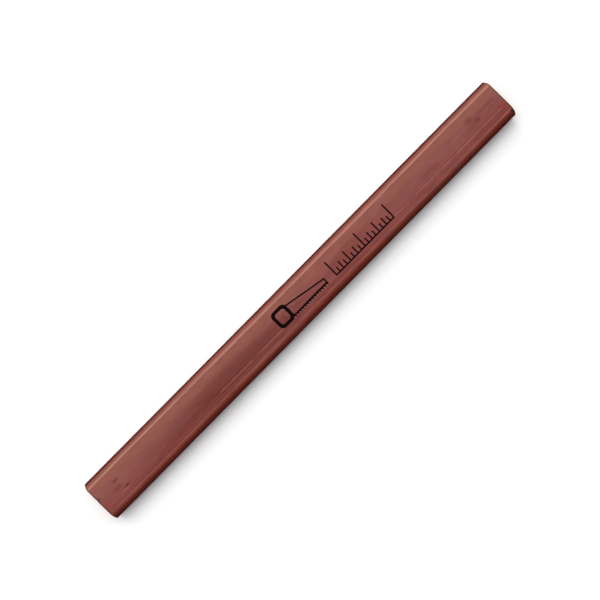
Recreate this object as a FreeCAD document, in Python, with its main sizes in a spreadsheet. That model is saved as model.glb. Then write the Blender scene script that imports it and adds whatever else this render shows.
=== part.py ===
"""A carpenter's pencil, as an assembly of the pieces that it is made of.

Two grooved slats of cedar are glued face to face round a flat graphite lead, milled to a flat octagon,
lacquered along their length and sawn square at both ends. A saw and a short scale are printed on the top face.

Frame: +X runs along the pencil, +Y across it and +Z up. The origin is the middle of the face that it lies on.
Millimetres and degrees.
"""

import FreeCAD, Part
import os
import sys

import Sketcher
from FreeCAD import Placement, Rotation, Vector

# Driving dimensions: alias, value, and what it is.
DIMENSIONS = [
    ("pencil_length", 178.0, "overall, sawn end to sawn end"),
    ("pencil_width", 14.6, "across the side faces, over the lacquer"),
    ("pencil_height", 7.6, "across the wide faces, over the lacquer"),
    ("face_width", 10.5, "wide face, arris to arris"),
    ("bevel_angle", 45.0, "slope of the bevels, from the wide face"),
    ("arris_radius", 1.2, "wide face to bevel, on the lacquer"),
    ("shoulder_radius", 2.0, "bevel to side face, on the lacquer"),
    ("coat_thickness", 0.1, "all the coats of lacquer together"),
    ("wood_arris_radius", 1.0, "wide face to bevel, on the wood"),
    ("wood_shoulder_radius", 1.8, "bevel to side face, on the wood"),
    ("glue_thickness", 0.08, "between the slats, and all round the lead"),
    ("lead_width", 5.0, "flat lead, across the pencil"),
    ("lead_height", 2.0, "flat lead, up the pencil"),
    ("lead_corner_radius", 0.3, "long edges of the lead"),
    ("ink_thickness", 0.03, "print on the lacquer"),
    ("stroke", 0.5, "width of the printed lines"),
    ("print_base", -2.9, "across the pencil, to the foot of the print"),
    ("scale_start", 12.4, "along the pencil, to the scale's first line"),
    ("scale_length", 25.4, "first line to last line: one inch"),
    ("scale_step", 12.7, "between the long lines: half an inch"),
    ("long_line", 5.8, "height of the long lines"),
    ("line_ratio", 0.72, "height of each finer division's lines to the last's"),
    ("saw_start", -11.4, "along the pencil, to the back of the saw's handle"),
    ("handle_length", 6.0, "along the saw"),
    ("handle_height", 6.2, "across the saw"),
    ("handle_wall", 1.1, "round the handle's finger hole"),
    ("handle_radius", 1.5, "outer corners of the handle"),
    ("grip_radius", 0.9, "corners of the finger hole"),
    ("blade_length", 15.0, "heel to toe"),
    ("heel_height", 4.6, "blade at the handle"),
    ("toe_height", 1.9, "blade at its tip"),
    ("tooth_height", 0.6, "teeth below the blade"),
    ("tooth_count", 14, "teeth along the blade"),
    ("tooth_rake", 0.8, "part of a tooth's length, from its heel side to its point"),
]

# Shared expressions. Sections are drawn about the middle of the pencil, so heights there are half heights.
HALF_WIDTH = "dims.pencil_width / 2"
HALF_HEIGHT = "dims.pencil_height / 2"
HALF_FACE = "dims.face_width / 2"
HALF_SIDE = f"({HALF_HEIGHT} - ({HALF_WIDTH} - {HALF_FACE}) * tan(dims.bevel_angle))"
WOOD_HALF_WIDTH = f"({HALF_WIDTH} - dims.coat_thickness)"
WOOD_HALF_HEIGHT = f"({HALF_HEIGHT} - dims.coat_thickness)"
WOOD_HALF_FACE = f"({HALF_FACE} - dims.coat_thickness * tan(dims.bevel_angle / 2))"
WOOD_HALF_SIDE = f"({HALF_SIDE} - dims.coat_thickness * tan((90 - dims.bevel_angle) / 2))"
HALF_GLUE = "dims.glue_thickness / 2"
LEAD_HALF_WIDTH = "dims.lead_width / 2"
LEAD_HALF_HEIGHT = "dims.lead_height / 2"
GROOVE_HALF_WIDTH = f"({LEAD_HALF_WIDTH} + dims.glue_thickness)"
GROOVE_DEPTH = f"({LEAD_HALF_HEIGHT} + dims.glue_thickness)"
GROOVE_RADIUS = "dims.lead_corner_radius + dims.glue_thickness"

# Corners of the sections, each as (across, up).
ARRIS = (HALF_FACE, HALF_HEIGHT)
SHOULDER = (HALF_WIDTH, HALF_SIDE)
WOOD_ARRIS = (WOOD_HALF_FACE, WOOD_HALF_HEIGHT)
WOOD_SHOULDER = (WOOD_HALF_WIDTH, WOOD_HALF_SIDE)
LAND_EDGE = (WOOD_HALF_WIDTH, HALF_GLUE)
GROOVE_MOUTH = (GROOVE_HALF_WIDTH, HALF_GLUE)
GROOVE_CORNER = (GROOVE_HALF_WIDTH, GROOVE_DEPTH)
LEAD_CORNER = (LEAD_HALF_WIDTH, LEAD_HALF_HEIGHT)

# The sketcher's numbers for its own axes, its origin and a line's ends, and the least length that counts.
H_AXIS, V_AXIS = -1, -2
START, END = 1, 2
ORIGIN_POINT = (H_AXIS, START)
LEAST = 1e-4

FINE_DIVISIONS = ("halves", "quarters", "eighths")

doc = FreeCAD.newDocument("carpenter_pencil")
sheet = doc.addObject("Spreadsheet::Sheet", "dims")


def fill_sheet():
    """Writes the driving dimensions into the sheet, one row each: name, value, meaning."""
    for row, (alias, value, meaning) in enumerate(DIMENSIONS, start=1):
        sheet.set(f"A{row}", alias)
        sheet.set(f"B{row}", str(value))
        sheet.set(f"C{row}", meaning)
        sheet.setAlias(f"B{row}", alias)
    doc.recompute()


def number(expression):
    """The present value of an expression of the sheet."""
    return float(sheet.evalExpression(expression))


def add_body(label, x="0", y="0", z="0", turn=0.0):
    """A body whose origin is at (x, y, z), expressions of the sheet, turned about its long axis."""
    body = doc.addObject("PartDesign::Body", label)
    body.Label = label
    body.Placement = Placement(Vector(0, 0, 0), Rotation(Vector(1, 0, 0), turn))
    for axis, expression in zip("xyz", (x, y, z)):
        body.setExpression(f"Placement.Base.{axis}", expression)
    return body


def add_sketch(body, name, plane):
    """A sketch on one of the body's own origin planes."""
    sketch = body.newObject("Sketcher::SketchObject", f"{body.Name}_{name}")
    support = next(f for f in body.Origin.OriginFeatures if f.Role == plane)
    sketch.AttachmentSupport = (support, [""])
    sketch.MapMode = "FlatFace"
    return sketch


def draw_loop(sketch, places):
    """Draws a closed loop of lines through these places, and returns the index of its first line."""
    first = sketch.GeometryCount
    count = len(places)
    for i in range(count):
        here = Vector(*places[i], 0)
        there = Vector(*places[(i + 1) % count], 0)
        sketch.addGeometry(Part.LineSegment(here, there))
    for i in range(count):
        after = first + (i + 1) % count
        sketch.addConstraint(Sketcher.Constraint("Coincident", first + i, END, after, START))
    return first


def hold(sketch, line, corner):
    """Holds the start of a line at a corner: two expressions, measured from the sketch's origin."""
    for kind, axis, expression in zip(("DistanceX", "DistanceY"), (V_AXIS, H_AXIS), corner):
        if expression == "0":
            sketch.addConstraint(Sketcher.Constraint("PointOnObject", line, START, axis))
        else:
            value = number(expression)
            rule = Sketcher.Constraint(kind, *ORIGIN_POINT, line, START, value)
            index = sketch.addConstraint(rule)
            sketch.setExpression(f"Constraints[{index}]", expression)


def draw_polygon(sketch, corners):
    """Draws a closed polygon whose corners are pairs of expressions."""
    first = draw_loop(sketch, [tuple(map(number, corner)) for corner in corners])
    for i, corner in enumerate(corners):
        hold(sketch, first + i, corner)


def mirror(sketch, line, image, about):
    """Keeps the start of one line the mirror image of another's, about an axis or about the origin."""
    sketch.addConstraint(Sketcher.Constraint("Symmetric", line, START, image, START, *about))


def draw_two_way(sketch, corners):
    """Draws a closed outline from its corners on the right, mirrored across the sketch's vertical axis."""
    right = [tuple(map(number, corner)) for corner in corners]
    left = [(-across, up) for across, up in reversed(right)]
    first = draw_loop(sketch, right + left)
    last = first + 2 * len(right) - 1
    for i, corner in enumerate(corners):
        hold(sketch, first + i, corner)
        mirror(sketch, first + i, last - i, (V_AXIS,))


def draw_four_way(sketch, corners):
    """Draws a closed outline from its corners in the first quarter, mirrored across both axes."""
    quarter = [tuple(map(number, corner)) for corner in corners]
    upper = quarter + [(-across, up) for across, up in reversed(quarter)]
    first = draw_loop(sketch, upper + [(-across, -up) for across, up in upper])
    half, whole = 2 * len(quarter), 4 * len(quarter)
    for i, corner in enumerate(corners):
        hold(sketch, first + i, corner)
        mirror(sketch, first + i, first + half - 1 - i, (V_AXIS,))
        mirror(sketch, first + i, first + half + i, ORIGIN_POINT)
        mirror(sketch, first + i, first + whole - 1 - i, (H_AXIS,))


def pad(body, sketch, length, symmetric=False):
    """Pads a sketch, to one side or evenly to both."""
    feature = body.newObject("PartDesign::Pad", f"{sketch.Name}_pad")
    feature.Profile = sketch
    feature.SideType = "Symmetric" if symmetric else "One side"
    feature.setExpression("Length", length)
    doc.recompute()
    return feature


def pocket(body, sketch, depth):
    """Pockets a sketch of the XY plane upwards, into the pad that stands on that plane."""
    before = body.Shape.Volume
    feature = body.newObject("PartDesign::Pocket", f"{sketch.Name}_pocket")
    feature.Profile = sketch
    feature.Reversed = True
    feature.setExpression("Length", depth)
    doc.recompute()
    if not body.Shape.Volume < before - LEAST:
        sys.exit(f"{feature.Name} cut nothing")
    return feature


def repeat(body, feature, sketch, length, count):
    """Repeats a feature evenly along its sketch's horizontal axis: count times over a length."""
    pattern = body.newObject("PartDesign::LinearPattern", f"{feature.Name}_row")
    pattern.Originals = [feature]
    pattern.Direction = (sketch, ["H_Axis"])
    pattern.setExpression("Length", length)
    pattern.setExpression("Occurrences", count)
    body.Tip = pattern
    doc.recompute()
    return pattern


def edge_names(shape, is_wanted):
    """Names of the shape's edges whose two end points pass this test."""
    names = []
    for i, edge in enumerate(shape.Edges, start=1):
        if is_wanted(edge.Vertexes[0].Point, edge.Vertexes[-1].Point):
            names.append(f"Edge{i}")
    return names


def round_edges(body, name, is_wanted, radius):
    """Rounds those edges of the body so far whose two end points pass a test."""
    before = body.Tip
    feature = body.newObject("PartDesign::Fillet", f"{body.Name}_{name}")
    feature.Base = (before, edge_names(before.Shape, is_wanted))
    feature.setExpression("Radius", radius)
    doc.recompute()
    return feature


def round_corner(body, name, corner, radius):
    """Rounds the lengthwise edges at a corner of the section, and at its mirror images."""
    across, up = map(number, corner)

    def is_wanted(start, end):
        lengthwise = abs(start.y - end.y) < LEAST and abs(start.z - end.z) < LEAST
        return lengthwise and abs(abs(start.y) - across) < LEAST and abs(abs(start.z) - up) < LEAST

    return round_edges(body, name, is_wanted, radius)


def round_upright(body, name, x_places, radius):
    """Rounds a flat piece's upright edges that stand at one of these places along X."""
    places = [number(x) for x in x_places]

    def is_wanted(start, end):
        upright = abs(start.x - end.x) < LEAST and abs(start.y - end.y) < LEAST
        return upright and any(abs(start.x - x) < LEAST for x in places)

    return round_edges(body, name, is_wanted, radius)


def make_slat(label, turn):
    """Half of the wood: a slat with a groove for half of the lead in its glued face, milled to half an octagon.

    The upper and the lower slat are the same piece, one turned over onto the other.
    """
    body = add_body(label, z=HALF_HEIGHT, turn=turn)
    section = add_sketch(body, "section", "YZ_Plane")
    draw_two_way(section, [GROOVE_CORNER, GROOVE_MOUTH, LAND_EDGE, WOOD_SHOULDER, WOOD_ARRIS])
    pad(body, section, "dims.pencil_length", symmetric=True)
    round_corner(body, "arrises", WOOD_ARRIS, "dims.wood_arris_radius")
    round_corner(body, "shoulders", WOOD_SHOULDER, "dims.wood_shoulder_radius")
    round_corner(body, "groove_corners", GROOVE_CORNER, GROOVE_RADIUS)
    return body


def make_lead():
    """The flat graphite lead, as long as the pencil."""
    body = add_body("graphite_lead", z=HALF_HEIGHT)
    section = add_sketch(body, "section", "YZ_Plane")
    draw_four_way(section, [LEAD_CORNER])
    pad(body, section, "dims.pencil_length", symmetric=True)
    round_corner(body, "corners", LEAD_CORNER, "dims.lead_corner_radius")
    return body


def make_glue():
    """The glue: one film that fills the joint between the slats and wraps the lead in its groove."""
    body = add_body("glue_film", z=HALF_HEIGHT)
    section = add_sketch(body, "section", "YZ_Plane")
    draw_four_way(section, [LAND_EDGE, GROOVE_MOUTH, GROOVE_CORNER])
    draw_four_way(section, [LEAD_CORNER])
    pad(body, section, "dims.pencil_length", symmetric=True)
    round_corner(body, "groove_corners", GROOVE_CORNER, GROOVE_RADIUS)
    round_corner(body, "lead_corners", LEAD_CORNER, "dims.lead_corner_radius")
    return body


def make_lacquer():
    """The lacquer: a skin round the wood, open at the sawn ends and thinner over the arrises."""
    body = add_body("lacquer_coat", z=HALF_HEIGHT)
    section = add_sketch(body, "section", "YZ_Plane")
    draw_four_way(section, [SHOULDER, ARRIS])
    draw_four_way(section, [WOOD_SHOULDER, WOOD_ARRIS])
    pad(body, section, "dims.pencil_length", symmetric=True)
    round_corner(body, "arrises", ARRIS, "dims.arris_radius")
    round_corner(body, "shoulders", SHOULDER, "dims.shoulder_radius")
    round_corner(body, "wood_arrises", WOOD_ARRIS, "dims.wood_arris_radius")
    round_corner(body, "wood_shoulders", WOOD_SHOULDER, "dims.wood_shoulder_radius")
    return body


def draw_box(sketch, left, foot, right, top):
    """Draws an upright rectangle from its four sides."""
    draw_polygon(sketch, [(left, foot), (right, foot), (right, top), (left, top)])


def make_scale():
    """The printed scale: a base line, with a long line at each half inch and finer divisions between them."""
    body = add_body("printed_scale", x="dims.scale_start", y="dims.print_base", z="dims.pencil_height")
    base = add_sketch(body, "base", "XY_Plane")
    draw_box(base, "0", "0", "dims.scale_length + dims.stroke", "dims.stroke")
    pad(body, base, "dims.ink_thickness")
    steps = "dims.scale_length / dims.scale_step"
    rows = [("long", "0", "dims.long_line", "dims.scale_length", f"{steps} + 1")]
    for i, name in enumerate(FINE_DIVISIONS, start=1):
        first = f"dims.scale_step / {2 ** i}"
        height = f"dims.long_line * dims.line_ratio ^ {i}"
        rows.append((name, first, height, f"dims.scale_length - 2 * {first}", f"{2 ** (i - 1)} * {steps}"))
    for name, left, height, length, count in rows:
        line = add_sketch(body, name, "XY_Plane")
        draw_box(line, left, "0", f"{left} + dims.stroke", height)
        repeat(body, pad(body, line, "dims.ink_thickness"), line, length, count)
    return body


def add_handle(body):
    """The saw's handle: a rounded ring round its finger hole."""
    wall, length, height = "dims.handle_wall", "dims.handle_length", "dims.handle_height"
    outline = add_sketch(body, "handle", "XY_Plane")
    draw_box(outline, "0", "0", length, height)
    pad(body, outline, "dims.ink_thickness")
    hole = add_sketch(body, "finger_hole", "XY_Plane")
    draw_box(hole, wall, wall, f"{length} - {wall}", f"{height} - {wall}")
    pocket(body, hole, "dims.ink_thickness")
    round_upright(body, "handle_corners", ("0", length), "dims.handle_radius")
    round_upright(body, "finger_hole_corners", (wall, f"{length} - {wall}"), "dims.grip_radius")


def add_blade(body, heel, toe):
    """The saw's blade in outline, tapering from its heel to its toe, above the teeth."""
    line, foot = "dims.stroke", "dims.tooth_height"
    slope_drop = f"(dims.heel_height - dims.toe_height) / dims.blade_length * {line}"
    heel_top, toe_top = f"{foot} + dims.heel_height", f"{foot} + dims.toe_height"
    blade = add_sketch(body, "blade", "XY_Plane")
    draw_polygon(blade, [(heel, foot), (toe, foot), (toe, toe_top), (heel, heel_top)])
    pad(body, blade, "dims.ink_thickness")
    inner_foot = f"{foot} + {line}"
    inner_toe = (f"{toe} - {line}", f"{toe_top} - {line} + {slope_drop}")
    inner_heel = (f"{heel} + {line}", f"{heel_top} - {line} - {slope_drop}")
    window = add_sketch(body, "blade_window", "XY_Plane")
    draw_polygon(window, [(inner_heel[0], inner_foot), (inner_toe[0], inner_foot), inner_toe, inner_heel])
    pocket(body, window, "dims.ink_thickness")


def add_teeth(body, heel):
    """The saw's teeth: a row of raked triangles under the blade."""
    pitch = "dims.blade_length / dims.tooth_count"
    tooth = add_sketch(body, "tooth", "XY_Plane")
    root = "dims.tooth_height"
    draw_polygon(tooth, [(heel, root), (f"{heel} + dims.tooth_rake * {pitch}", "0"), (f"{heel} + {pitch}", root)])
    row_length = f"dims.blade_length - {pitch}"
    repeat(body, pad(body, tooth, "dims.ink_thickness"), tooth, row_length, "dims.tooth_count")


def make_saw():
    """The printed hand saw: its handle, its blade and its teeth."""
    body = add_body("printed_saw", x="dims.saw_start", y="dims.print_base", z="dims.pencil_height")
    heel = "(dims.handle_length - dims.stroke)"
    add_handle(body)
    add_blade(body, heel, f"({heel} + dims.blade_length)")
    add_teeth(body, heel)
    return body


def check_document(parts):
    """Stops if any object of the document failed, or any part isn't whole."""
    for thing in doc.Objects:
        if "Invalid" in thing.State or "Error" in thing.State:
            sys.exit(f"{thing.Name} failed: {thing.State}")
        if thing.isDerivedFrom("Sketcher::SketchObject") and not thing.FullyConstrained:
            sys.exit(f"{thing.Name} isn't fully constrained")
    for part in parts:
        if part.Shape.isNull() or not part.Shape.isValid() or not part.Shape.Solids:
            sys.exit(f"{part.Label} is not a valid solid")


def write_parts(parts):
    """Writes each part to parts/LABEL.step and prints its size and volume."""
    os.makedirs("parts", exist_ok=True)
    for part in parts:
        box = part.Shape.BoundBox
        size = " x ".join(f"{side:.2f}" for side in (box.XLength, box.YLength, box.ZLength))
        print(f"{part.Label}: {size} mm, z from {box.ZMin:.3f}, {part.Shape.Volume:.1f} mm3")
        part.Shape.exportStep(f"parts/{part.Label}.step")


fill_sheet()
all_parts = [
    make_slat("lower_slat", turn=180.0),
    make_slat("upper_slat", turn=0.0),
    make_lead(),
    make_glue(),
    make_lacquer(),
    make_saw(),
    make_scale(),
]
doc.recompute()
check_document(all_parts)
write_parts(all_parts)
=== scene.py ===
"""A carpenter's pencil: two cedar slats glued round a flat lead, stained, lacquered and sawn square.

The frame holds the plain solids. This script gives each of them its finished surface: the lacquer's
crowned faces, grain and wear with painted sheen, shade and highlight, the sawn ends, the rounded lead, and the
ink that lies on the crown. The glue keeps its solid and gets a material. Lengths are in millimetres until they
reach a mesh.
"""

import math

import bmesh
import bpy
import numpy as np
from mathutils import Matrix, Vector, noise


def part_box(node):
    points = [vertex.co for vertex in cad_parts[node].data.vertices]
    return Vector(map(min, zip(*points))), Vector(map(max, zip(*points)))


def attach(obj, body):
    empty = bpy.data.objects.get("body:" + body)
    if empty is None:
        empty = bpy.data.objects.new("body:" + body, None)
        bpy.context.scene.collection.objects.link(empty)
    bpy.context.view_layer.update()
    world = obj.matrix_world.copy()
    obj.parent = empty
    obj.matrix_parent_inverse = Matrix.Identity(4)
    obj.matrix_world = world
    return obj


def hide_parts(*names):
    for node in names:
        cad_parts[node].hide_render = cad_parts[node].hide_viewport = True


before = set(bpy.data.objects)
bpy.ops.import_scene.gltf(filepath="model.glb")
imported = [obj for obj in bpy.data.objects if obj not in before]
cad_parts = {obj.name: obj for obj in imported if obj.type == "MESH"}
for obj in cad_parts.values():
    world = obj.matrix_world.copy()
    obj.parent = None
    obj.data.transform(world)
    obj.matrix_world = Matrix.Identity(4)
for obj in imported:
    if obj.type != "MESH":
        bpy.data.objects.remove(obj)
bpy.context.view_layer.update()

MM = 0.001

# ---------------------------------------------------------------- sizes, from the frame


def box_mm(node):
    """A CAD node's lowest and highest corners, in millimetres."""
    low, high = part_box(node)
    return np.array(low) / MM, np.array(high) / MM


coat_high = box_mm("lacquer_coat")[1]
slat_low, slat_high = box_mm("upper_slat")
lead_low, lead_high = box_mm("graphite_lead")
lower_slat_top = box_mm("lower_slat")[1][2]

HALF_LENGTH = coat_high[0]
HALF_WIDTH = coat_high[1]
HALF_HEIGHT = coat_high[2] / 2
MIDDLE = HALF_HEIGHT
COAT = coat_high[2] - slat_high[2]
GLUE = slat_low[2] - lower_slat_top
LEAD_HALF_WIDTH = lead_high[1]
LEAD_HALF_HEIGHT = (lead_high[2] - lead_low[2]) / 2
LEAD_RADIUS = 0.3
GROOVE_HALF_WIDTH = LEAD_HALF_WIDTH + GLUE
GROOVE_DEPTH = LEAD_HALF_HEIGHT + GLUE
GROOVE_RADIUS = LEAD_RADIUS + GLUE

# How far each bevel goes, across the pencil and up it. Arrises bound the wide faces, and shoulders the sides.
BEVEL = 2.05
ARRIS_RADIUS = 1.2
SHOULDER_RADIUS = 2.0
WOOD_ARRIS_RADIUS = 1.0
WOOD_SHOULDER_RADIUS = 1.8
# How far each flat's ends stand out from its plane, and how far its middle does.
FACE_SWELL = (-0.09, 0.0)
BEVEL_SWELL = (0.0, 0.10)
SIDE_SWELL = (-0.03, 0.0)
FLAT_SWELLS = [BEVEL_SWELL, FACE_SWELL, BEVEL_SWELL, SIDE_SWELL] * 2

# ---------------------------------------------------------------- the section

HALF_CORNER = math.radians(22.5)
FLAT_STEP = 0.15
FEWEST_STEPS = 4
ARC_STEPS = 10


def octagon(inset, arris_radius, shoulder_radius):
    """The octagon's corners, moved in by a coat's thickness, anticlockwise, each with its radius."""
    shift = inset * math.tan(HALF_CORNER)
    shoulder = (HALF_WIDTH - inset, HALF_HEIGHT - BEVEL - shift)
    arris = (HALF_WIDTH - BEVEL - shift, HALF_HEIGHT - inset)
    quarter = [(shoulder, shoulder_radius), (arris, arris_radius)]
    ring = []
    for flip in ((1, 1), (-1, 1), (-1, -1), (1, -1)):
        ring += [(np.array(corner) * flip, radius) for corner, radius in quarter]
        quarter.reverse()
    return ring


def run_between(start, end):
    """The direction from one point to another, the outward normal to it, and its length."""
    length = np.linalg.norm(end - start)
    way = (end - start) / length
    return way, np.array((way[1], -way[0])), length


def swell_at(swell, part):
    """How far a flat stands out from its plane, part of the way along it."""
    ends, middle = swell
    return middle + (ends - middle) * (2 * part - 1) ** 2


def corner_points(before, here, after, radius, swell_before, swell_after):
    """Points round a corner and their normals, from the flat before it to the flat after it."""
    way_in, normal_in, length_in = run_between(before, here)
    length_out = run_between(here, after)[2]
    reach = radius * math.tan(HALF_CORNER)
    centre = here - way_in * reach - normal_in * radius
    turned = math.atan2(normal_in[1], normal_in[0])
    swell_in = swell_at(swell_before, 1 - reach / length_in)
    swell_out = swell_at(swell_after, reach / length_out)
    points = []
    for k in range(ARC_STEPS + 1):
        part = k / ARC_STEPS
        angle = turned + part * 2 * HALF_CORNER
        normal = np.array((math.cos(angle), math.sin(angle)))
        swell = swell_in + (swell_out - swell_in) * part
        points.append((centre + normal * (radius + swell), normal))
    return points


def flat_points(here, after, radius, next_radius, swell, steps):
    """Points along a flat and their normals, between the roundings at its two ends."""
    way, normal, length = run_between(here, after)
    reach = radius * math.tan(HALF_CORNER)
    next_reach = next_radius * math.tan(HALF_CORNER)
    points = []
    for k in range(1, steps):
        along = reach + (length - reach - next_reach) * k / steps
        points.append((here + way * along + normal * swell_at(swell, along / length), normal))
    return points


def section(inset, arris_radius, shoulder_radius):
    """The outline's points, across and up from the pencil's middle, anticlockwise, and their normals.

    Each flat is slightly crowned, and the arcs join them. The number of points doesn't depend on the inset,
    so the outside and the inside of a skin match point for point.
    """
    ring = octagon(inset, arris_radius, shoulder_radius)
    outermost = octagon(0.0, arris_radius, shoulder_radius)
    points = []
    for i, (here, radius) in enumerate(ring):
        following = (i + 1) % len(ring)
        before = ring[i - 1][0]
        after, next_radius = ring[following]
        outer_length = run_between(outermost[i][0], outermost[following][0])[2]
        steps = max(FEWEST_STEPS, round(outer_length / FLAT_STEP))
        points += corner_points(before, here, after, radius, FLAT_SWELLS[i - 1], FLAT_SWELLS[i])
        points += flat_points(here, after, radius, next_radius, FLAT_SWELLS[i], steps)
    places = np.array([p for p, _ in points])
    normals = np.array([n for _, n in points])
    return places, normals


# ---------------------------------------------------------------- relief shared by the pieces

# Chips in the sawn ends: which end, across, up from the middle, radius and depth.
CHIPS = [
    (-1, 1.05, 3.75, 0.42, 0.15),
    (1, -5.45, 3.6, 0.45, 0.16),
    (-1, -4.1, -3.75, 0.5, 0.3),
    (1, 2.9, -3.75, 0.4, 0.3),
    (1, 7.2, 0.6, 0.4, 0.22),
    (-1, -7.2, -0.9, 0.35, 0.2),
]
# Scratches along the top: from and to, across, half width, and how pale (above 0) or dark (below 0) each is.
SCRATCHES = [
    (-39.0, 87.6, -2.65, 0.15, 0.60),
    (-86.4, -84.4, -2.66, 0.18, 0.90),
    (-83.0, -62.0, -2.62, 0.14, 0.24),
    (-82.0, -78.5, -2.62, 0.16, 0.22),
    (-84.0, -53.0, -2.95, 0.12, -0.40),
    (-43.0, -28.0, -2.15, 0.17, -0.90),
    (-56.0, -38.0, -2.55, 0.13, -0.40),
    (-30.0, 60.0, -2.98, 0.12, -0.35),
    (60.0, 78.0, -2.25, 0.13, -0.40),
    (78.7, 87.4, -2.95, 0.13, -0.45),
    (-60.0, -20.0, -3.75, 0.12, 0.16),
    (-35.0, 20.0, -4.35, 0.14, 0.20),
    (66.0, 76.0, 1.0, 0.18, 0.22),
]
# The saw's strokes are arcs round a centre, across and up from the middle at each end.
SAW_CENTRES = {-1: (34.0, -46.0), 1: (-22.0, -52.0)}
SAW_PITCH = 0.62
SAW_DEPTH = 0.022
SAW_WANDER = 1.98
TORN_FIBRE_DEPTH = 0.012
# How far the end's corners are worn back, towards -Y and towards +Y, and how far across the wear starts.
CORNER_WEAR = {-1: (0.25, 0.50), 1: (0.35, 0.45)}
WEAR_START = 5.0


def sawn(end, y, z, rough=1.0):
    """How far the sawn end lies inside its plane at a place across and up from the middle."""
    centre_y, centre_z = SAW_CENTRES[end]
    reach = math.hypot(y - centre_y, z - centre_z)
    wander = SAW_WANDER * noise.noise((y / 3.0, z / 3.0, 5.0 * end))
    stroke = 0.5 + 0.5 * math.sin(2 * math.pi * reach / SAW_PITCH + wander)
    fibre = 0.5 + 0.5 * noise.noise((y / 0.16, z / 0.16, 9.0 * end))
    depth = rough * (SAW_DEPTH * stroke + TORN_FIBRE_DEPTH * fibre)
    past = max(0.0, (abs(y) - WEAR_START) / (HALF_WIDTH - WEAR_START))
    depth += CORNER_WEAR[end][int(y > 0)] * past ** 2
    for side, chip_y, chip_z, radius, deep in CHIPS:
        away = math.hypot(y - chip_y, z - chip_z) / radius
        if side == end and away < 1.0:
            depth += deep * (1 - away ** 2) * (0.8 + 0.4 * fibre)
    return depth


# ---------------------------------------------------------------- meshes

SHARP_ANGLE = math.radians(35.0)


def object_from(name, mesh):
    """An object with a mesh that is smooth but for its sharp edges."""
    mesh.shade_smooth()
    mesh.set_sharp_from_angle(angle=SHARP_ANGLE)
    made = bpy.data.objects.new(name, mesh)
    bpy.context.collection.objects.link(made)
    return made


def solid_object(name, vertices, faces):
    """An object from a closed mesh's vertices, in millimetres, and its faces, which are turned outwards."""
    mesh = bpy.data.meshes.new(name)
    mesh.from_pydata([tuple(v) for v in np.asarray(vertices) * MM], [], faces)
    mesh.update()
    made = object_from(name, mesh)
    work = bmesh.new()
    work.from_mesh(mesh)
    bmesh.ops.recalc_face_normals(work, faces=work.faces)
    work.to_mesh(mesh)
    work.free()
    return made


def prism(name, places, cells, rough):
    """A solid as long as the pencil, from a flat mesh of its section: sawn caps, and walls on free edges."""
    count = len(places)
    vertices = []
    for end in (-1, 1):
        for y, z in places:
            vertices.append((end * (HALF_LENGTH - sawn(end, y, z, rough)), y, z + MIDDLE))
    used = {}
    for cell in cells:
        for a, b in zip(cell, cell[1:] + cell[:1]):
            used.setdefault(frozenset((a, b)), []).append((a, b))
    faces = [list(cell) for cell in cells]
    faces += [[v + count for v in reversed(cell)] for cell in cells]
    for uses in used.values():
        if len(uses) == 1:
            a, b = uses[0]
            faces.append([b, a, a + count, b + count])
    return solid_object(name, vertices, faces)


def mirrored(right):
    """Places across the whole pencil, from those at and to the right of its middle."""
    return [-y for y in reversed(right[1:])] + right


def round_drop(past, radius):
    """Height over an edge's centre, that far past it, where the edge is rounded."""
    return math.sqrt(max(0.0, radius ** 2 - past ** 2))


# ---------------------------------------------------------------- the lacquer

# The skin's rings: how far from a sawn end the close ones are, where the even ones start, and their spacing.
RINGS_AT_END = [0.0, 0.04, 0.09, 0.15, 0.22, 0.3, 0.4, 0.52, 0.68, 0.9, 1.2, 1.6]
EVEN_RINGS_FROM = 2.2
RING_STEP = 0.95
# How far from the end its shape fades out of the skin.
END_REACH = 0.5

WAVE_HEIGHT = 0.010
GRAIN_HEIGHT = 0.0028
SCRATCH_DEPTH = 0.016
# The broken edge at the sawn ends, and the glue's joint along the sides: depth, and how far it reaches.
BROKEN_DEPTH, BROKEN_REACH = 0.07, 0.11
JOINT_DEPTH, JOINT_REACH = 0.018, 0.12


def stations():
    """Places along the pencil for the skin's rings: close together at the sawn ends, even between them."""
    left = [distance - HALF_LENGTH for distance in RINGS_AT_END]
    inner = HALF_LENGTH - EVEN_RINGS_FROM
    middle = np.linspace(-inner, inner, round(2 * inner / RING_STEP))
    return np.array(left + list(middle) + [-x for x in reversed(left)])


def scratch_relief(x, y, z):
    """How far the scratches cut into the top, which they do unevenly along their length."""
    if z < MIDDLE:
        return 0.0
    relief = 0.0
    for start, end, across, half_width, _ in SCRATCHES:
        if start < x < end:
            press = 0.5 + 0.5 * noise.noise((x / 5.0, across * 9.0, 2.0))
            relief -= SCRATCH_DEPTH * press * math.exp(-((y - across) / half_width) ** 2)
    return relief


def skin_relief(x, y, z):
    """How far the lacquer stands out from its even thickness."""
    relief = WAVE_HEIGHT * noise.noise((x / 21.0, y / 6.0, z / 6.0 + 3.0))
    relief += GRAIN_HEIGHT * noise.noise((x / 14.0, y / 0.45, z / 0.45))
    relief -= BROKEN_DEPTH * math.exp((abs(x) - HALF_LENGTH) / BROKEN_REACH)
    if abs(y) > HALF_WIDTH - 0.5:
        relief -= JOINT_DEPTH * math.exp(-((z - MIDDLE) / JOINT_REACH) ** 2)
    return relief + scratch_relief(x, y, z)


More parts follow.
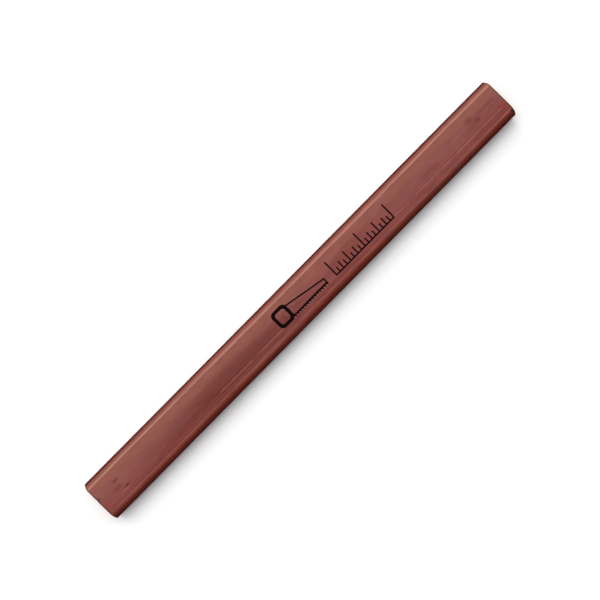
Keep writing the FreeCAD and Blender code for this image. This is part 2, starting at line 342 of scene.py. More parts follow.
def skin_vertices(places, outside, normals, inside):
    """Rings round the outside of the skin, then one round the inside at each end."""
    vertices = []
    for x in places:
        end = -1 if x < 0 else 1
        near = max(0.0, 1 - (HALF_LENGTH - abs(x)) / END_REACH)
        for (y, z), normal in zip(outside, normals):
            at = x - end * sawn(end, y, z) * near
            out = skin_relief(x, y, z + MIDDLE)
            vertices.append((at, y + normal[0] * out, z + normal[1] * out + MIDDLE))
    for end in (-1, 1):
        for y, z in inside:
            vertices.append((end * (HALF_LENGTH - sawn(end, y, z)), y, z + MIDDLE))
    return vertices


def make_lacquer():
    """The lacquer's skin: crowned faces and soft arrises outside, the wood's own outline inside."""
    outside, normals = section(0.0, ARRIS_RADIUS, SHOULDER_RADIUS)
    inside, _ = section(COAT, WOOD_ARRIS_RADIUS, WOOD_SHOULDER_RADIUS)
    places = stations()
    around, rings = len(outside), len(places)
    first_inner, last_inner = rings * around, (rings + 1) * around
    bands = [(i * around, (i + 1) * around) for i in range(rings - 1)]
    bands += [((rings - 1) * around, last_inner), (last_inner, first_inner), (first_inner, 0)]
    faces = []
    for a, b in bands:
        for k in range(around):
            after = (k + 1) % around
            faces.append([a + k, b + k, b + after, a + after])
    return solid_object("lacquer_skin", skin_vertices(places, outside, normals, inside), faces)


# ---------------------------------------------------------------- the wood

# Rows of cells in the slat's section: below the groove's edge, and above that edge or the groove.
LOW_ROWS, HIGH_ROWS = 7, 26
# Columns from its middle outwards: over the groove, round its corner, and beside it as far as the bevel.
GROOVE_COLUMNS, BEND_COLUMNS, FACE_COLUMNS = 19, 4, 18
BEND_ANGLES = (0.25, 1.3)
BEVEL_MARGIN = 0.7


def outer_height(y, outline):
    """Height of an outline's upper side over a place across the pencil."""
    upper = outline[outline[:, 1] > 0]
    order = np.argsort(upper[:, 0], kind="stable")
    return np.interp(y, upper[order, 0], upper[order, 1])


def groove_height(y):
    """Height of the groove's roof over a place across it: flat, with rounded corners."""
    past = max(0.0, abs(y) - (GROOVE_HALF_WIDTH - GROOVE_RADIUS))
    return GROOVE_DEPTH - GROOVE_RADIUS + round_drop(past, GROOVE_RADIUS)


def slat_columns(outline):
    """Places across the slat for its section's columns. Over a bevel, they are at the outline's own points."""
    flat = GROOVE_HALF_WIDTH - GROOVE_RADIUS
    face_edge = HALF_WIDTH - BEVEL - BEVEL_MARGIN
    turns = np.linspace(*BEND_ANGLES, BEND_COLUMNS)
    right = list(np.linspace(0.0, flat, GROOVE_COLUMNS))
    right += [GROOVE_HALF_WIDTH - GROOVE_RADIUS * (1 - math.sin(turn)) for turn in turns]
    right += list(np.linspace(GROOVE_HALF_WIDTH, face_edge, FACE_COLUMNS))
    right += sorted(p[0] for p in outline if p[0] > face_edge + 0.05 and p[1] > 0.9)
    return mirrored(right)


def slat_section():
    """A flat mesh of the slat's section: columns across it, each from its lower edge up to the outline."""
    outline, _ = section(COAT, WOOD_ARRIS_RADIUS, WOOD_SHOULDER_RADIUS)
    across = slat_columns(outline)
    split = groove_height(GROOVE_HALF_WIDTH)
    places, index = [], {}

    def vertex(y, z):
        """The number of the vertex at a place, which is added if it is new."""
        key = (round(y, 6), round(z, 6))
        if key not in index:
            index[key] = len(places)
            places.append((y, z))
        return index[key]

    cells = []
    for y0, y1 in zip(across, across[1:]):
        in_groove = abs((y0 + y1) / 2) < GROOVE_HALF_WIDTH
        floor = [groove_height(y) if in_groove else split for y in (y0, y1)]
        roof = [outer_height(y, outline) for y in (y0, y1)]
        spans = [(floor, roof, HIGH_ROWS)]
        if not in_groove:
            spans.append(([GLUE / 2] * 2, floor, LOW_ROWS))
        for low, high, rows in spans:
            for k in range(rows):
                a0, b0 = (low[0] + (high[0] - low[0]) * (k + s) / rows for s in (0, 1))
                a1, b1 = (low[1] + (high[1] - low[1]) * (k + s) / rows for s in (0, 1))
                cells.append([vertex(y0, a0), vertex(y1, a1), vertex(y1, b1), vertex(y0, b0)])
    return places, cells


def make_slats():
    """The two slats: the same section, the lower one turned over."""
    places, cells = slat_section()
    upper = prism("upper_slat_wood", places, cells, rough=1.0)
    turned = [(-y, -z) for y, z in places]
    lower = prism("lower_slat_wood", turned, cells, rough=1.0)
    return upper, lower


# ---------------------------------------------------------------- the lead

LEAD_COLUMNS, LEAD_BENDS, LEAD_ROWS = 24, 7, 24
LEAD_ROUGHNESS = 0.7


def make_lead():
    """The flat lead, rounded along its edges, and cut more smoothly by the saw than the wood is."""
    flat = LEAD_HALF_WIDTH - LEAD_RADIUS
    bends = [flat + LEAD_RADIUS * math.sin(t) for t in np.linspace(0, math.pi / 2, LEAD_BENDS)[1:]]
    across = mirrored(list(np.linspace(0.0, flat, LEAD_COLUMNS)) + bends)
    places = []
    for y in across:
        past = max(0.0, abs(y) - flat)
        half = LEAD_HALF_HEIGHT - LEAD_RADIUS + round_drop(past, LEAD_RADIUS)
        places += [(y, z) for z in np.linspace(-half, half, LEAD_ROWS)]
    cells = []
    for i in range(len(across) - 1):
        for k in range(LEAD_ROWS - 1):
            a = i * LEAD_ROWS + k
            cells.append([a, a + LEAD_ROWS, a + LEAD_ROWS + 1, a + 1])
    return prism("lead", places, cells, LEAD_ROUGHNESS)


# ---------------------------------------------------------------- the ink

INK_CELL = 0.45
# How far the ink's edges wander, over lengths of about what size, and how deep the ink sits in the lacquer.
INK_WANDER, INK_WANDER_SIZE = 0.030, 0.5
INK_SINK = 0.008


def cut_finely(work, node):
    """Cuts a mark into cells across and along, so that it can follow the crowned face."""
    low, high = box_mm(node)
    for axis in (0, 1):
        normal = Vector([float(i == axis) for i in range(3)])
        for at in np.arange(low[axis] + 0.3, high[axis], INK_CELL):
            everything = work.verts[:] + work.edges[:] + work.faces[:]
            bmesh.ops.bisect_plane(work, geom=everything, plane_co=normal * at * MM, plane_no=normal)
    bmesh.ops.remove_doubles(work, verts=work.verts, dist=1e-7)


def make_ink(node, name):
    """A printed mark from its CAD node, laid on the crowned face, with slightly uneven edges."""
    outline, _ = section(0.0, ARRIS_RADIUS, SHOULDER_RADIUS)
    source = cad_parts[node]
    work = bmesh.new()
    work.from_mesh(source.data)
    bmesh.ops.transform(work, matrix=source.matrix_world, verts=work.verts)
    cut_finely(work, node)
    for vertex in work.verts:
        x, y, z = (c / MM for c in vertex.co)
        thick = z - coat_high[2]
        x += INK_WANDER * noise.noise((x / INK_WANDER_SIZE, y / INK_WANDER_SIZE, 1.0))
        y += INK_WANDER * noise.noise((x / INK_WANDER_SIZE, y / INK_WANDER_SIZE, 7.0))
        ground = outer_height(y, outline) + MIDDLE + skin_relief(x, y, coat_high[2])
        vertex.co = Vector((x, y, ground + thick - INK_SINK)) * MM
    mesh = bpy.data.meshes.new(name)
    work.to_mesh(mesh)
    work.free()
    return object_from(name, mesh)


# ---------------------------------------------------------------- node trees


class Tree:
    """A node tree, with short ways to add to it."""

    def __init__(self, node_tree):
        self.nodes = node_tree.nodes
        self.links = node_tree.links

    def put(self, socket, value):
        """Links a socket to another, or sets it to a number, a vector or a colour without its alpha."""
        if isinstance(value, bpy.types.NodeSocket):
            self.links.new(value, socket)
        elif isinstance(value, tuple) and len(socket.default_value) == 4:
            socket.default_value = (*value, 1.0)
        else:
            socket.default_value = value

    def add(self, kind, inputs, **settings):
        """A node with its settings and its inputs."""
        node = self.nodes.new(kind)
        for name, value in settings.items():
            setattr(node, name, value)
        for name, value in inputs.items():
            self.put(node.inputs[name], value)
        return node

    def split(self, vector):
        """A vector's three parts."""
        return self.add("ShaderNodeSeparateXYZ", {0: vector}).outputs

    def vector(self, operation, a, b):
        """Arithmetic on vectors."""
        return self.add("ShaderNodeVectorMath", {0: a, 1: b}, operation=operation).outputs["Vector"]

    def scale(self, vector, factor):
        """A vector or a colour times a factor."""
        inputs = {0: vector, "Scale": factor}
        return self.add("ShaderNodeVectorMath", inputs, operation="SCALE").outputs["Vector"]

    def math(self, operation, *values):
        """Arithmetic on numbers."""
        return self.add("ShaderNodeMath", dict(enumerate(values)), operation=operation).outputs[0]

    def minus(self, a, b):
        """The first number less the second."""
        return self.math("SUBTRACT", a, b)

    def times(self, first, *others):
        """All the numbers multiplied together."""
        product = first
        for other in others:
            product = self.math("MULTIPLY", product, other)
        return product

    def times_plus(self, value, factor, other):
        """A value times a factor, plus another value."""
        return self.math("MULTIPLY_ADD", value, factor, other)

    def size_of(self, value):
        """A number without its sign."""
        return self.math("ABSOLUTE", value)

    def distance(self, a, b):
        """The length of a line that goes these two distances at right angles."""
        return self.math("SQRT", self.math("ADD", self.times(a, a), self.times(b, b)))

    def range(self, value, low, high, to_low=0.0, to_high=1.0):
        """A value's range mapped smoothly onto another, held at its ends."""
        inputs = {"Value": value, "From Min": low, "From Max": high, "To Min": to_low, "To Max": to_high}
        return self.add("ShaderNodeMapRange", inputs, interpolation_type="SMOOTHSTEP").outputs["Result"]

    def mix(self, factor, a, b):
        """A colour between two."""
        return self.add("ShaderNodeMix", {0: factor, 6: a, 7: b}, data_type="RGBA").outputs[2]

    def noise_at(self, place, detail=2.0, roughness=0.5):
        """Smooth noise between 0 and 1, about 0.5, at a place in the noise's own space."""
        inputs = {"Vector": place, "Scale": 1.0, "Detail": detail, "Roughness": roughness}
        return self.add("ShaderNodeTexNoise", inputs).outputs[0]


class Material(Tree):
    """A material with one shader. Coordinates are in millimetres, in the frame's own axes."""

    def __init__(self, name):
        self.material = bpy.data.materials.new(name)
        self.material.use_nodes = True
        super().__init__(self.material.node_tree)
        self.shader = self.nodes["Principled BSDF"]
        place = self.nodes.new("ShaderNodeTexCoord").outputs["Object"]
        self.place = self.scale(place, 1 / MM)
        self.x, self.y, self.z = self.split(self.place)

    def noise(self, size, detail=2.0, roughness=0.5, seed=0.0):
        """Noise with features of a size along each axis."""
        scaled = self.vector("DIVIDE", self.place, size)
        moved = self.vector("ADD", scaled, (seed, seed * 1.7, seed * 0.6))
        return self.noise_at(moved, detail, roughness)

    def from_middle(self):
        """How far the place lies from the pencil's middle, across and up."""
        return self.size_of(self.y), self.size_of(self.minus(self.z, MIDDLE))

    def bump(self, height, distance):
        """A normal from a height between 0 and 1, that distance deep, in millimetres."""
        inputs = {"Height": height, "Distance": distance * MM}
        return self.add("ShaderNodeBump", inputs).outputs["Normal"]

    def finish(self, **inputs):
        """Sets the shader's sockets, each named with its spaces as underscores, and returns the material."""
        for name, value in inputs.items():
            self.put(self.shader.inputs[name.replace("_", " ")], value)
        return self.material


# ---------------------------------------------------------------- the cedar's figure

# Each slat's pith, across and up from the pencil's middle, and its rings' spacing.
UPPER_PITH, UPPER_SPACING = (-31.0, -16.0), 1.9
LOWER_PITH, LOWER_SPACING = (18.0, 24.0), 1.52
RING_WARP = 2.4
RAYS_PER_RADIAN = 420.0
RAY_LENGTH, RAY_DEPTH = 1.4, 0.6


def in_upper(tree):
    """1 in the upper slat and 0 in the lower."""
    return tree.math("GREATER_THAN", tree.z, MIDDLE)


def from_pith(tree, pith):
    """How far the place lies across and up from a pith, and straight from it."""
    across = tree.minus(tree.y, pith[0])
    up = tree.minus(tree.z, pith[1] + MIDDLE)
    return across, up, tree.distance(across, up)


def rings(tree, pith, spacing, seed):
    """Growth rings round a pith: from 0 in the early wood to 1 at the end of the late wood."""
    warp = tree.noise((70.0, 6.0, 6.0), detail=4.0, seed=seed)
    strength = tree.range(tree.noise((80.0, 2.6, 2.6), detail=1.0, seed=seed + 1.0), 0.35, 0.65, 0.35, 1.0)
    bent = tree.times_plus(warp, RING_WARP, from_pith(tree, pith)[2])
    phase = tree.math("FRACT", tree.math("DIVIDE", bent, spacing))
    return tree.times(tree.range(phase, 0.45, 0.94), tree.range(phase, 1.0, 0.95), strength)


def late_wood(tree):
    """The rings of whichever slat the place is in."""
    upper = rings(tree, UPPER_PITH, UPPER_SPACING, 3.0)
    lower = rings(tree, LOWER_PITH, LOWER_SPACING, 8.0)
    return tree.mix(in_upper(tree), lower, upper)


def rays(tree, pith, seed):
    """Fine pale rays that run out from a pith: noise stretched along its radius."""
    across, up, reach = from_pith(tree, pith)
    along = tree.math("DIVIDE", tree.x, RAY_DEPTH)
    round_pith = tree.times(tree.math("ARCTAN2", up, across), RAYS_PER_RADIAN)
    outwards = tree.math("DIVIDE", reach, RAY_LENGTH)
    place = tree.add("ShaderNodeCombineXYZ", {0: along, 1: round_pith, 2: outwards}).outputs[0]
    return tree.noise_at(tree.vector("ADD", place, (seed, seed, seed)))


# ---------------------------------------------------------------- colours and marks

STAIN = (0.162, 0.0228, 0.0145)
# Deep stain. Where it darkens the -Y side and the -Y bevel of the top, and the +Y arris towards -X, it is
# painted shade.
DEEP_STAIN_AND_SHADE = (0.118, 0.0115, 0.0060)
STAIN_CLOUDY = (0.192, 0.0420, 0.0370)
# Painted sheen: a lighter, less red stain that stands for the lacquer's sheen on the +Y half of the top.
STAIN_PAINTED_SHEEN = (0.194, 0.0390, 0.0215)
STAIN_DARK = (0.118, 0.0090, 0.0025)
STAIN_RED = (0.230, 0.0280, 0.0200)
OCHRE = (0.190, 0.0500, 0.0200)
# Pooled stain. Along the shoulders and sawn edges it is also painted shade.
POOLED_STAIN_AND_SHADE = (0.068, 0.0055, 0.0035)
PORE = (0.075, 0.0090, 0.0060)
# Rubbed lacquer. Along the upper arrises it is also a painted highlight.
WORN_AND_HIGHLIGHT = (0.335, 0.1060, 0.0530)
SCUFFED = (0.285, 0.1150, 0.0880)
# Dirt, and painted shade in the chips and along one edge at the -X end.
DIRT_AND_SHADE = (0.024, 0.004, 0.004)
BARE_EARLY = (0.560, 0.300, 0.165)
BARE_PALE = (0.660, 0.400, 0.240)
BARE_LATE = (0.290, 0.118, 0.056)
GRAPHITE_DUST = (0.070, 0.060, 0.055)
GRAPHITE_DARK = (0.030, 0.030, 0.033)
GRAPHITE_PALE = (0.085, 0.085, 0.090)
GLUE_DARK = (0.30, 0.17, 0.07)
GLUE_PALE = (0.46, 0.30, 0.15)
INK = (0.0030, 0.0006, 0.0006)
INK_THIN = (0.020, 0.006, 0.005)

# How strongly each shows through or over the stain: the painted sheen, the painted shade on the -Y side and
# bevel, the late wood, the rubbing with its painted highlight, and the pooling with its painted shade.
PAINTED_SHEEN_STRENGTH = 0.85
LOW_SIDE_SHADE_STRENGTH = 0.28
LOW_BEVEL_SHADE_STRENGTH = 0.6
LATE_WOOD_STRENGTH = 0.08
RUBBED_AND_HIGHLIGHT_STRENGTH = 0.34
POOLED_AND_SHADE_STRENGTH = 0.85

# Patches on the top: colour, along, across, half length, half width and strength. The tones are in the stain,
# the spots lie over it, and the dark patches of dirt with painted shade lie over everything.
TONES = [
    (DEEP_STAIN_AND_SHADE, -30.0, -1.4, 46.0, 5.0, 0.85),
    (STAIN_CLOUDY, 55.0, -2.0, 43.0, 6.5, 0.95),
    (STAIN_CLOUDY, -84.0, -1.0, 17.0, 7.0, 0.8),
]
SPOTS = [
    (STAIN_DARK, -80.6, 1.45, 1.9, 0.7, 1.0),
    (STAIN_DARK, -79.0, -2.2, 1.5, 0.6, 1.0),
    (STAIN_DARK, -81.5, -0.6, 2.0, 1.1, 0.45),
    (STAIN_DARK, 76.0, 2.1, 1.7, 1.3, 0.75),
    (STAIN_DARK, 76.0, 0.2, 4.5, 2.2, 0.35),
    (STAIN_DARK, 78.5, 0.3, 1.4, 1.1, 0.80),
    (STAIN_DARK, 84.8, 0.1, 1.0, 0.6, 0.45),
    (DEEP_STAIN_AND_SHADE, 82.5, 1.4, 5.5, 0.7, 0.65),
    (DEEP_STAIN_AND_SHADE, -45.0, 0.2, 5.5, 1.2, 0.45),
    (DEEP_STAIN_AND_SHADE, 55.0, -0.4, 7.0, 1.0, 0.35),
    (STAIN_RED, -87.7, -2.1, 1.3, 1.1, 0.85),
    (STAIN_RED, 88.0, -3.6, 1.1, 0.9, 0.6),
    (OCHRE, 88.1, 1.8, 0.9, 0.8, 0.9),
    (OCHRE, 88.3, -2.2, 0.7, 1.0, 0.6),
    (OCHRE, -87.2, 0.2, 1.4, 1.2, 0.7),
    (OCHRE, -87.8, -4.2, 1.0, 1.0, 0.6),
    # These two strips along the +Y arris towards -X adjust its painted highlight: the first dims it, and the
    # second tints it ochre.
    (DEEP_STAIN_AND_SHADE, -70.0, 6.1, 30.0, 1.3, 0.5),
    (OCHRE, -78.0, 5.7, 16.0, 0.9, 0.75),
    (WORN_AND_HIGHLIGHT, 85.4, -4.95, 3.2, 0.5, 0.30),
]
# Dirt with painted shade: two dark chips at the ends, and a dark line along the +Y edge at the -X end.
DIRT_AND_SHADE_SPOTS = [
    (DIRT_AND_SHADE, -88.45, 0.9, 1.0, 0.6, 1.0),
    (DIRT_AND_SHADE, 88.5, -5.4, 1.1, 0.8, 1.0),
    (DIRT_AND_SHADE, -87.2, 7.2, 2.6, 0.5, 0.8),
]
# How far noise pushes a patch's edge, and where the edge starts and ends, in parts of the patch's half size.
PATCH_RAGGED = 0.7
PATCH_EDGE = (1.4, 0.6)
# How far the scratches wander to each side. Each fades in and out over a part of its length, up to a limit.
SCRATCH_WANDER = 0.08
SCRATCH_FADE_PART = 0.2
SCRATCH_FADE_LIMIT = 2.0


def patched(tree, colour, top, patches):
    """The colour with patches over it."""
    ragged = tree.noise((3.0, 0.7, 0.7), detail=3.0, seed=11.0)
    for patch, along, across, half_length, half_width, strength in patches:
        far_x = tree.math("DIVIDE", tree.minus(tree.x, along), half_length)
        far_y = tree.math("DIVIDE", tree.minus(tree.y, across), half_width)
        away = tree.times_plus(ragged, PATCH_RAGGED, tree.distance(far_x, far_y))
        colour = tree.mix(tree.times(tree.range(away, *PATCH_EDGE, 0.0, strength), top), colour, patch)
    return colour


def scratched(tree, colour, top):
    """The colour with the top's scratches over it, broken where they lift."""
    wobble = tree.times_plus(tree.noise((12.0, 50.0, 50.0), seed=13.0), 2 * SCRATCH_WANDER, -SCRATCH_WANDER)
    breaks = tree.range(tree.noise((4.5, 0.5, 0.5), seed=14.0), 0.36, 0.52)
    shown = tree.times(breaks, top)
    for start, end, across, half_width, tone in SCRATCHES:
        beside = tree.size_of(tree.minus(tree.math("ADD", tree.y, wobble), across))
        line = tree.range(beside, half_width * 1.5, half_width * 0.4, 0.0, abs(tone))
        fade = min(SCRATCH_FADE_LIMIT, (end - start) * SCRATCH_FADE_PART)
        length = tree.times(tree.range(tree.x, start, start + fade), tree.range(tree.x, end, end - fade))
        colour = tree.mix(tree.times(line, length, shown), colour, SCUFFED if tone > 0 else PORE)
    return colour


def arris_wear_and_highlight(tree):
    """1 along the upper arrises, breaking up along them: lacquer rubbed by handling, and a painted highlight
    that is stronger towards +Y, where the light falls.
    """
    across, up = tree.from_middle()
    arris = HALF_WIDTH - BEVEL
    inner = tree.range(across, arris - 0.9, arris - 0.25)
    outer = tree.range(across, arris + 1.2, arris + 0.1)
    patchy = tree.range(tree.noise((14.0, 0.9, 0.9), detail=4.0, roughness=0.6, seed=2.0), 0.3, 0.62)
    high = tree.range(up, HALF_HEIGHT - 1.3, HALF_HEIGHT - 0.5)
    # Painted highlight: stronger towards +Y, where the light falls.
    side = tree.range(tree.y, -HALF_WIDTH, HALF_WIDTH, 0.6, 1.1)
    return tree.times(inner, outer, patchy, high, side)


def pooled_stain_and_shade(tree):
    """1 along the four shoulders and round the sawn edges: pooled stain, and painted shade where the surface
    turns away from the light.
    """
    across, up = tree.from_middle()
    from_shoulder = tree.distance(tree.minus(across, HALF_WIDTH), tree.minus(up, HALF_HEIGHT - BEVEL))
    from_end = tree.minus(HALF_LENGTH, tree.size_of(tree.x))
    return tree.math("MAXIMUM", tree.range(from_shoulder, 1.7, 0.3), tree.range(from_end, 0.65, 0.2))


def chip_dirt_and_shade(tree):
    """1 in the chips of the sawn ends, which are darkened with dirt and painted shade."""
    chip_darkening = 0.0
    for end, chip_y, chip_z, radius, _ in CHIPS:
        away = tree.distance(tree.minus(tree.y, chip_y), tree.minus(tree.z, chip_z + MIDDLE))
        near = tree.range(away, radius * 1.25, radius * 0.7)
        this_end = tree.math("GREATER_THAN", tree.times(tree.x, end), 0.0)
        chip_darkening = tree.math("MAXIMUM", chip_darkening, tree.times(near, this_end))
    return chip_darkening


def inside_rim(tree):
    """How far the place lies inside the pencil's flat-sided outline."""
    across, up = tree.from_middle()
    corner = tree.minus(HALF_WIDTH + HALF_HEIGHT - BEVEL, tree.math("ADD", across, up))
    flats = tree.math("MINIMUM", tree.minus(HALF_WIDTH, across), tree.minus(HALF_HEIGHT, up))
    return tree.math("MINIMUM", flats, tree.times(corner, math.sqrt(0.5)))


def beside_lead(tree):
    """How far the place lies outside the lead's section."""
    across, up = tree.from_middle()
    return tree.math("MAXIMUM", tree.minus(across, LEAD_HALF_WIDTH), tree.minus(up, LEAD_HALF_HEIGHT))


# ---------------------------------------------------------------- materials


def stain_sheen_and_shade(tree, top):
    """The stain before anything marked it: clouded, with painted sheen making it lighter towards +Y, and
    painted shade making it darker towards -Y and on the -Y bevel.
    """
    clouds = tree.noise((30.0, 6.5, 6.5), detail=4.0, seed=4.0)
    colour = tree.mix(tree.range(clouds, 0.36, 0.66), STAIN, STAIN_CLOUDY)
    colour = patched(tree, colour, top, TONES)
    # Painted sheen: the top is lighter towards +Y, where the light falls, up to short of the shoulder.
    sheen_side = tree.range(tree.times_plus(clouds, 2.4, tree.y), 2.3, 4.1)
    short_of_shoulder = tree.range(tree.y, HALF_WIDTH - 0.3, HALF_WIDTH - BEVEL + 0.4)
    painted_sheen = tree.times(sheen_side, top, short_of_shoulder, PAINTED_SHEEN_STRENGTH)
    colour = tree.mix(painted_sheen, colour, STAIN_PAINTED_SHEEN)
    # Painted shade: the top is darker towards -Y, and the -Y bevel darker still, on the side away from the
    # light.
    low_side_shade = tree.range(tree.y, -2.2, -4.4, 0.0, LOW_SIDE_SHADE_STRENGTH)
    colour = tree.mix(tree.times(low_side_shade, top), colour, DEEP_STAIN_AND_SHADE)
    low_bevel_shade = tree.range(tree.y, BEVEL - HALF_WIDTH - 0.3, BEVEL / 2 - HALF_WIDTH)
    return tree.mix(tree.times(low_bevel_shade, top, LOW_BEVEL_SHADE_STRENGTH), colour, DEEP_STAIN_AND_SHADE)


def lacquer_material():
    """Red-brown stain over cedar under a satin lacquer: mottled, scratched and rubbed, with painted sheen
    towards +Y, painted shade towards -Y and along the outline, and a painted highlight on the upper arrises.
    """
    tree = Material("lacquer")
    top = tree.range(tree.z, MIDDLE - 0.6, MIDDLE + 0.6)
    blotches = tree.noise((5.0, 2.1, 2.1), detail=3.0, seed=9.0)
    marks = tree.noise((3.2, 0.20, 0.20), seed=15.0)
    fibre = tree.noise((26.0, 0.22, 0.22), detail=3.0, roughness=0.6, seed=1.0)
    colour = patched(tree, stain_sheen_and_shade(tree, top), top, SPOTS)
    colour = tree.mix(tree.times(late_wood(tree), LATE_WOOD_STRENGTH), colour, DEEP_STAIN_AND_SHADE)
    colour = scratched(tree, colour, top)
    # The upper arrises: rubbed lacquer and a painted highlight.
    colour = tree.mix(tree.times(arris_wear_and_highlight(tree), RUBBED_AND_HIGHLIGHT_STRENGTH), colour, WORN_AND_HIGHLIGHT)
    # Darker along the shoulders and sawn edges: pooled stain and painted shade.
    colour = tree.mix(tree.times(pooled_stain_and_shade(tree), POOLED_AND_SHADE_STRENGTH), colour, POOLED_STAIN_AND_SHADE)
    shade = tree.range(blotches, 0.25, 0.75, 0.91, 1.09)
    shade = tree.math("ADD", shade, tree.range(marks, 0.35, 0.8, 0.025, -0.09))
    shade = tree.math("ADD", shade, tree.range(fibre, 0.3, 0.7, -0.025, 0.025))
    # Dirt and painted shade: dark chips at the ends, and a dark line along one edge.
    colour = patched(tree, tree.scale(colour, shade), top, DIRT_AND_SHADE_SPOTS)
    satin = tree.range(tree.noise((9.0, 1.2, 1.2), seed=6.0), 0.3, 0.7, 0.15, 0.22)
    at_end = tree.range(tree.size_of(tree.x), HALF_LENGTH - 0.9, HALF_LENGTH - 0.4)
    rough = tree.math("MAXIMUM", satin, tree.times(chip_dirt_and_shade(tree), at_end, 0.8))
    relief = tree.times_plus(marks, 0.5, tree.times_plus(fibre, 0.4, blotches))
    return tree.finish(Base_Color=colour, Roughness=rough, Normal=tree.bump(relief, 0.012))


def cedar_material():
    """Bare cedar, sawn across: growth rings, rays, open fibre ends, stain at the rim, smeared graphite, and
    chips darkened with dirt and painted shade.
    """
    tree = Material("cedar")
    late = late_wood(tree)
    ray = tree.mix(in_upper(tree), rays(tree, LOWER_PITH, 2.0), rays(tree, UPPER_PITH, 6.0))
    fibre_ends = tree.noise((0.5, 0.075, 0.075), seed=5.0)
    torn = tree.noise((1.0, 0.9, 0.5), detail=3.0, seed=7.0)
    colour = tree.mix(tree.times(late, 0.8), BARE_EARLY, BARE_LATE)
    colour = tree.mix(tree.range(ray, 0.5, 0.75, 0.0, 0.35), colour, BARE_PALE)
    colour = tree.mix(tree.range(fibre_ends, 0.42, 0.72, 0.0, 0.45), colour, BARE_LATE)
    colour = tree.scale(colour, tree.range(torn, 0.3, 0.7, 0.84, 1.08))
    bleed = tree.times_plus(fibre_ends, 0.30, inside_rim(tree))
    colour = tree.mix(tree.range(bleed, 0.48, 0.22, 0.0, 0.85), colour, STAIN)
    smear = tree.times_plus(torn, -0.9, beside_lead(tree))
    colour = tree.mix(tree.range(smear, 0.25, -0.45, 0.0, 0.5), colour, GRAPHITE_DUST)
    # Dirt and painted shade in the chips.
    colour = tree.mix(chip_dirt_and_shade(tree), colour, DIRT_AND_SHADE)
    relief = tree.times_plus(late, 0.6, fibre_ends)
    return tree.finish(Base_Color=colour, Roughness=0.8, Normal=tree.bump(relief, 0.03))


def graphite_material():
    """Fired graphite and clay: dark grey with a dull metallic shine, scored by the saw."""
    tree = Material("graphite")
    grain = tree.noise((0.3, 0.12, 0.12), detail=3.0, seed=2.0)
    colour = tree.mix(grain, GRAPHITE_DARK, GRAPHITE_PALE)
    rough = tree.range(grain, 0.3, 0.7, 0.38, 0.55)
    return tree.finish(Base_Color=colour, Roughness=rough, Metallic=0.35, Normal=tree.bump(grain, 0.015))


def glue_material():
    """Dried wood glue: amber, a little darker where it has soaked in."""
    tree = Material("glue")
    colour = tree.mix(tree.noise((0.6, 0.4, 0.4)), GLUE_DARK, GLUE_PALE)
    return tree.finish(Base_Color=colour, Roughness=0.5)


def ink_material():
    """Black stamping foil, slightly open where the grain let it miss."""
    tree = Material("ink")
    speck = tree.noise((0.8, 0.10, 0.10), detail=3.0, seed=3.0)
    colour = tree.mix(tree.range(speck, 0.55, 0.8), INK, INK_THIN)
    return tree.finish(Base_Color=colour, Roughness=0.6, Specular_IOR_Level=0.03)


# ---------------------------------------------------------------- studio

# The camera leans from straight above towards -X, and is turned so that the pencil crosses the picture.
CAMERA_LEAN = math.radians(2.2)
CAMERA_TURN = math.radians(45.37)
CAMERA_DISTANCE = 350.0
CAMERA_LENS = 67.6
AIM_OFFSET = -1.00
CLIP_NEAR, CLIP_FAR = 0.01, 20.0

# Strips of light along the pencil: where each begins, is full, starts to fall and is gone, in degrees from
# overhead towards +Y, and its brightness.
KEY_STRIP = (12.0, 26.0, 46.0, 58.0, 2.6)
LOW_STRIP = (44.0, 54.0, 68.0, 108.0, 2.0)
LIGHT_COLOUR = (1.0, 0.985, 0.955)
FLOOR_COLOUR = (0.880, 0.894, 0.920)
STAGE_RADIUS = 4.0


def add_camera():
    """A camera almost straight above, turned so that the pencil runs from lower left to upper right."""
    camera = bpy.data.objects.new("camera", bpy.data.cameras.new("camera"))
    bpy.context.collection.objects.link(camera)
    target = Vector((AIM_OFFSET, 0.0, 2 * HALF_HEIGHT)) * MM
    back = Vector((-math.sin(CAMERA_LEAN), 0.0, math.cos(CAMERA_LEAN)))
    up = Vector((math.sin(CAMERA_TURN), math.cos(CAMERA_TURN), 0.0))
    right = up.cross(back).normalized()
    camera.location = target + back * CAMERA_DISTANCE * MM
    camera.rotation_mode = "QUATERNION"
    camera.rotation_quaternion = Matrix((right, back.cross(right), back)).transposed().to_quaternion()
    camera.data.lens = CAMERA_LENS
    camera.data.clip_start = CLIP_NEAR
    camera.data.clip_end = CLIP_FAR
    bpy.context.scene.camera = camera


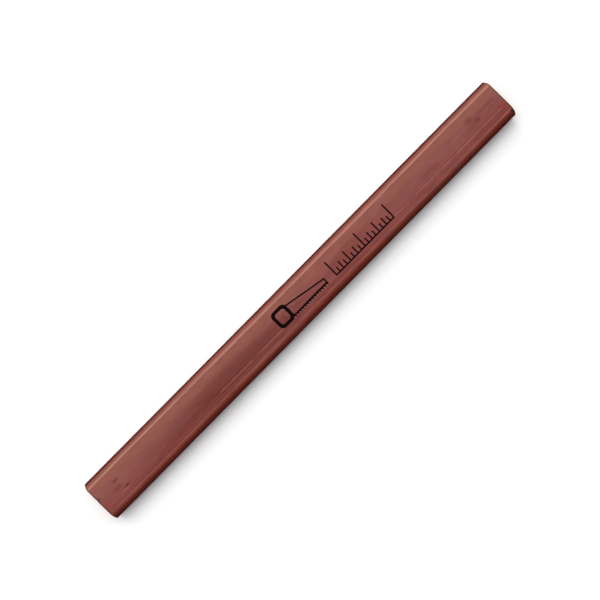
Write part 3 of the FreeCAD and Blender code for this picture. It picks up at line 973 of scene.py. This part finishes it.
def make_world():
    """Soft studio light in strips along the pencil: dim at the horizon, and brightest towards +Y."""
    world = bpy.data.worlds.new("studio")
    world.use_nodes = True
    tree = Tree(world.node_tree)
    x, y, z = tree.split(tree.nodes.new("ShaderNodeTexCoord").outputs["Generated"])
    along = tree.size_of(x)
    lean = tree.times(tree.math("ARCTAN2", y, z), 180.0 / math.pi)
    light = tree.range(z, 0.0, 0.75, 0.02, 0.42)
    fill = tree.times(tree.range(lean, 0.0, 4.0), tree.range(lean, 60.0, 30.0))
    light = tree.times_plus(fill, tree.range(lean, 30.0, 8.0, 1.0, 1.6), light)
    short = tree.range(along, 0.45, 0.30)
    for begin, full, falling, gone, brightness in (KEY_STRIP, LOW_STRIP):
        strip = tree.times(tree.range(lean, begin, full), tree.range(lean, gone, falling), short)
        light = tree.times_plus(strip, brightness, light)
    beyond_ends = tree.times(tree.range(along, 0.45, 0.75), tree.range(z, 0.0, 0.3))
    light = tree.times_plus(beyond_ends, 0.4, light)
    background = tree.nodes["Background"]
    tree.put(background.inputs["Strength"], light)
    tree.put(background.inputs["Color"], LIGHT_COLOUR)
    bpy.context.scene.world = world


def add_backdrop():
    """A white dome that only the camera sees, so that it lights nothing."""
    bpy.ops.mesh.primitive_uv_sphere_add(radius=STAGE_RADIUS, segments=64, ring_count=32)
    dome = bpy.context.object
    dome.name = "backdrop"
    dome.visible_diffuse = False
    dome.visible_glossy = False
    dome.visible_transmission = False
    dome.visible_shadow = False
    tree = Material("backdrop")
    black, white = (0.0, 0.0, 0.0), (1.0, 1.0, 1.0)
    dome.data.materials.append(tree.finish(Base_Color=black, Emission_Color=white, Emission_Strength=1.0))


def add_floor():
    """A pale floor, which the lacquer doesn't mirror."""
    bpy.ops.mesh.primitive_circle_add(radius=STAGE_RADIUS, vertices=64, fill_type="NGON")
    floor = bpy.context.object
    floor.name = "floor"
    floor.visible_glossy = False
    floor.data.materials.append(Material("floor").finish(Base_Color=FLOOR_COLOUR, Roughness=0.9))


def add_studio():
    """The floor, the backdrop and the light."""
    add_floor()
    add_backdrop()
    make_world()
    bpy.context.scene.view_settings.view_transform = "Standard"


# ---------------------------------------------------------------- assembly

lacquer = make_lacquer()
upper_slat, lower_slat = make_slats()
lead = make_lead()
saw_ink = make_ink("printed_saw", "saw_ink")
scale_ink = make_ink("printed_scale", "scale_ink")

cedar = cedar_material()
ink = ink_material()
dressed = [
    (lacquer, "lacquer_coat", "lacquer", lacquer_material()),
    (upper_slat, "upper_slat", "cedar", cedar),
    (lower_slat, "lower_slat", "cedar", cedar),
    (lead, "graphite_lead", "graphite", graphite_material()),
    (saw_ink, "printed_saw", "ink", ink),
    (scale_ink, "printed_scale", "ink", ink),
]
for piece, node, slot, material in dressed:
    piece.data.materials.append(material)
    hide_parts(node)
    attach(piece, "root")

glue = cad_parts["glue_film"]
glue.data.materials.clear()
glue.data.materials.append(glue_material())

add_studio()
add_camera()
